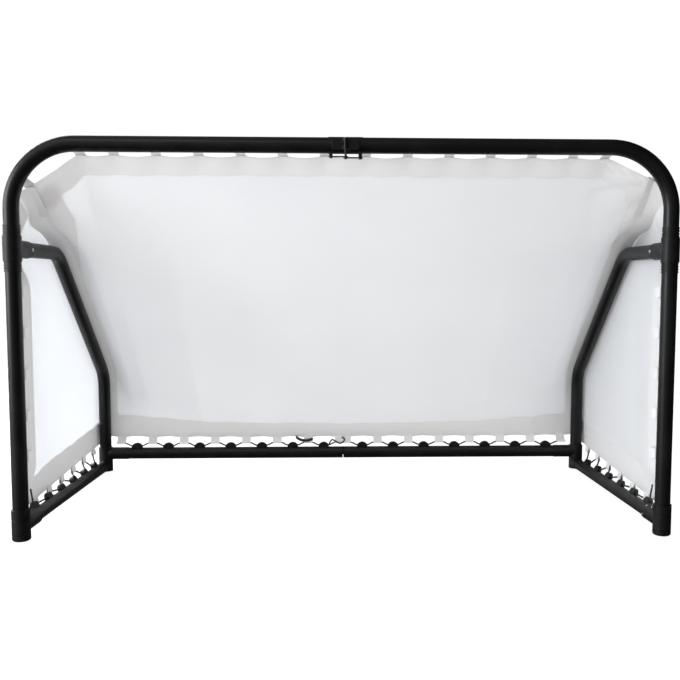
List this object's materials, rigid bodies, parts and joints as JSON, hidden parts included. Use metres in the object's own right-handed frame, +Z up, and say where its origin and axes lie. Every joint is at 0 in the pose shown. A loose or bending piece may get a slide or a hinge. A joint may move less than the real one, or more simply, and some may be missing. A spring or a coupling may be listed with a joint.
{
  "type": "hockey goal net",
  "caption": "Folding hockey goal of black round tube with a white cloth-like net on the back and both sides, laced to clips on the ground bars.",
  "frame": {"origin": "on the floor under the middle of the goal, in the middle between the front frame and the rear bar", "axes": "+X to the right seen from the shooter, +Y from the mouth to the rear bar, +Z up"},
  "size_m": [1.5174, 0.758, 0.901],
  "materials": {
    "frame_tube": "satin black powder coat",
    "fitting": "black moulded plastic",
    "hinge_metal": "satin black",
    "bolt_metal": "black zinc",
    "screw_metal": "bright screw head",
    "clip": "semi-gloss black",
    "net_cloth": "white fine woven mesh",
    "lacing_cord": "black round cord"
  },
  "bodies": {
    "left_front": {"left_front_tube": "frame_tube", "left_foot_cap": "fitting", "left_upper_collar": "fitting", "left_lower_collar": "fitting", "left_hinge_collar": "fitting", "left_hinge_strap": "hinge_metal", "left_strap_bolt": "bolt_metal", "left_frame_net_clips": "clip", "left_upper_back_net": "net_cloth", "crossbar_hinge_pin": "bolt_metal"},
    "left_side": {"left_upper_tee": "fitting", "left_lower_tee": "fitting", "left_strut_tube": "frame_tube", "left_side_tube": "frame_tube", "left_corner_boot": "fitting", "left_strut_screw": "screw_metal", "left_side_net": "net_cloth", "left_post_tabs": "net_cloth", "left_side_net_clips": "clip", "left_side_lacing": "lacing_cord"},
    "left_rear": {"left_rear_sleeve": "fitting", "left_rear_tube": "frame_tube", "left_rear_hinge_leaf": "hinge_metal", "left_rear_net_clips": "clip", "left_rear_lacing": "lacing_cord", "left_lower_back_net": "net_cloth", "rear_hinge_pin": "bolt_metal"},
    "right_front": {"right_front_tube": "frame_tube", "right_foot_cap": "fitting", "right_upper_collar": "fitting", "right_lower_collar": "fitting", "right_hinge_collar": "fitting", "right_hinge_strap": "hinge_metal", "right_strap_bolt": "bolt_metal", "right_frame_net_clips": "clip", "right_upper_back_net": "net_cloth"},
    "right_side": {"right_upper_tee": "fitting", "right_lower_tee": "fitting", "right_strut_tube": "frame_tube", "right_side_tube": "frame_tube", "right_corner_boot": "fitting", "right_strut_screw": "screw_metal", "right_side_net": "net_cloth", "right_post_tabs": "net_cloth", "right_side_net_clips": "clip", "right_side_lacing": "lacing_cord"},
    "right_rear": {"right_rear_sleeve": "fitting", "right_rear_tube": "frame_tube", "right_rear_hinge_leaf": "hinge_metal", "right_rear_net_clips": "clip", "right_rear_lacing": "lacing_cord", "right_lower_back_net": "net_cloth"}
  },
  "joints": [
    {"name": "crossbar_fold", "type": "hinge", "parent": "left_front", "child": "right_front", "pos_m": [0, -0.374, 0.8825], "axis": [0, 0, -1], "range_deg": [0, 150], "deforming": ["left_upper_back_net", "right_upper_back_net"]},
    {"name": "left_side_fold", "type": "hinge", "parent": "left_front", "child": "left_side", "pos_m": [-0.7325, -0.35, 0.35], "axis": [0, 0, -1], "range_deg": [0, 75]},
    {"name": "left_rear_fold", "type": "hinge", "parent": "left_side", "child": "left_rear", "pos_m": [-0.7325, 0.35, 0.054], "axis": [0, 0, -1], "range_deg": [0, 75], "deforming": ["left_lower_back_net"]},
    {"name": "right_side_fold", "type": "hinge", "parent": "right_front", "child": "right_side", "pos_m": [0.7325, -0.35, 0.35], "axis": [0, 0, 1], "range_deg": [0, 75]},
    {"name": "right_rear_fold", "type": "hinge", "parent": "right_side", "child": "right_rear", "pos_m": [0.7325, 0.35, 0.054], "axis": [0, 0, 1], "range_deg": [0, 75], "deforming": ["right_lower_back_net"]}
  ],
  "couplings": [
    {"joint": "left_side_fold", "follows": "crossbar_fold", "ratio": 0.5},
    {"joint": "left_rear_fold", "follows": "crossbar_fold", "ratio": 0.5},
    {"joint": "right_side_fold", "follows": "crossbar_fold", "ratio": 0.5},
    {"joint": "right_rear_fold", "follows": "crossbar_fold", "ratio": 0.5}
  ]
}
